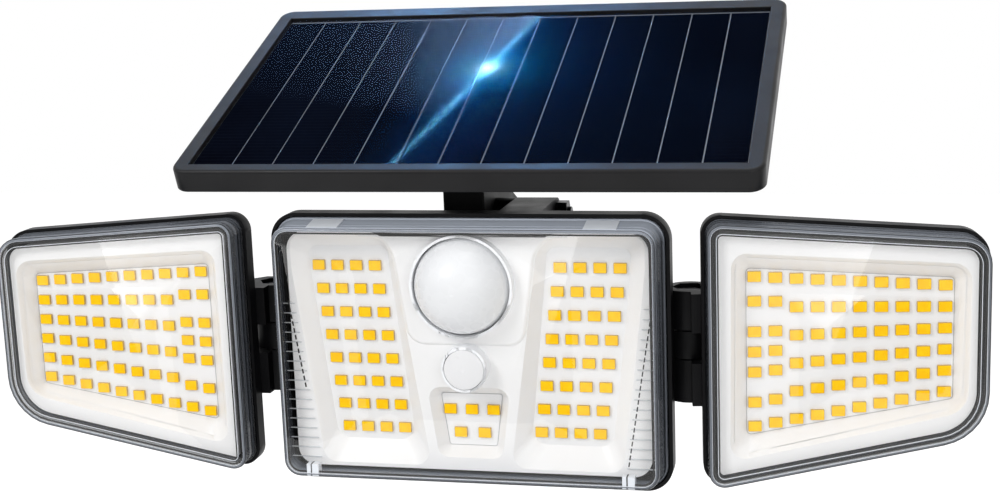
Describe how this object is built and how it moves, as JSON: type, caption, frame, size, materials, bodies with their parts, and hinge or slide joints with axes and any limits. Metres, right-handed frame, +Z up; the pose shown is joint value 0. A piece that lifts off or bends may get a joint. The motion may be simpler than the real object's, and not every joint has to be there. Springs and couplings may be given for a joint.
{
  "type": "motion sensor security light",
  "caption": "Solar security light for a wall: a clear-fronted LED head with a motion sensor dome, a swivelling LED wing at each side and a tilting solar panel above on a wall bracket.",
  "frame": {"origin": "centre of the wall plate's back face", "axes": "+X to the right as seen from the front, +Y into the wall, +Z up"},
  "size_m": [0.2715, 0.117, 0.1483],
  "materials": {
    "black_plastic": "fine satin texture",
    "bracket_plastic": "satin",
    "panel_frame_plastic": "satin",
    "gland_plastic": "matte",
    "clear_plastic": "clear, polished",
    "panel_sheet": "clear, glossy",
    "white_reflector": "semi gloss white",
    "white_board": "white solder mask",
    "led_phosphor": "yellow silicone",
    "milky_lens": "milky, translucent",
    "white_button": "semi gloss",
    "black_rubber": "matte",
    "grey_rubber": "matte",
    "dark_steel": "blackened",
    "bright_steel": "bright",
    "green_board": "solder mask",
    "cell_wrap": "shrink wrap",
    "silicon": "dark glossy",
    "pale_sheet": "satin"
  },
  "bodies": {
    "bracket": {"wall_bracket": "bracket_plastic", "head_tilt_bolt": "dark_steel", "head_tilt_nut": "dark_steel", "head_tilt_spacer": "black_plastic", "panel_tilt_bolt": "dark_steel", "panel_tilt_nut": "dark_steel"},
    "head": {"battery_cells": "cell_wrap", "battery_contacts": "bright_steel", "battery_holder": "black_plastic", "button_seal": "grey_rubber", "control_board": "green_board", "head_back_shell": "black_plastic", "head_cable_gland": "gland_plastic", "head_clear_cover": "clear_plastic", "head_gasket": "black_rubber", "head_led_board_centre": "white_board", "head_led_board_left": "white_board", "head_led_board_right": "white_board", "head_led_chips": "led_phosphor", "head_reflector": "white_reflector", "head_screws": "dark_steel", "mode_switch": "black_plastic", "pir_lens": "milky_lens", "pir_seal": "grey_rubber", "pyro_sensor": "bright_steel"},
    "button": {"mode_button": "white_button"},
    "left_wing": {"left_hinge_bolt": "dark_steel", "left_hinge_nut": "dark_steel", "left_wing_back_shell": "black_plastic", "left_wing_clear_cover": "clear_plastic", "left_wing_gasket": "black_rubber", "left_wing_led_board": "white_board", "left_wing_led_chips": "led_phosphor", "left_wing_reflector": "white_reflector", "left_wing_screws": "dark_steel"},
    "right_wing": {"right_hinge_bolt": "dark_steel", "right_hinge_nut": "dark_steel", "right_wing_back_shell": "black_plastic", "right_wing_clear_cover": "clear_plastic", "right_wing_gasket": "black_rubber", "right_wing_led_board": "white_board", "right_wing_led_chips": "led_phosphor", "right_wing_reflector": "white_reflector", "right_wing_screws": "dark_steel"},
    "panel": {"panel_back_cover": "black_plastic", "panel_backsheet": "pale_sheet", "panel_bracket": "black_plastic", "panel_bracket_screws": "dark_steel", "panel_cable_gland": "gland_plastic", "panel_clear_sheet": "panel_sheet", "panel_frame": "panel_frame_plastic", "solar_cells": "silicon"}
  },
  "joints": [
    {"name": "head_tilt", "type": "hinge", "parent": "bracket", "child": "head", "pos_m": [0.012, -0.063, 0.051], "axis": [1, 0, 0], "range_deg": [-3, 25]},
    {"name": "panel_tilt", "type": "hinge", "parent": "bracket", "child": "panel", "pos_m": [-0.006, -0.063, 0.072], "axis": [1, 0, 0], "range_deg": [-15, 6]},
    {"name": "left_swivel", "type": "hinge", "parent": "head", "child": "left_wing", "pos_m": [-0.059, -0.09, 0.02], "axis": [0, 0, -1], "range_deg": [-10, 60]},
    {"name": "right_swivel", "type": "hinge", "parent": "head", "child": "right_wing", "pos_m": [0.059, -0.09, 0.02], "axis": [0, 0, 1], "range_deg": [-19, 51]},
    {"name": "mode_press", "type": "slide", "parent": "head", "child": "button", "axis": [0, 1, 0], "range_m": [0, 0.0008], "stiffness_N_per_m": 400, "springref_m": -0.0006}
  ]
}
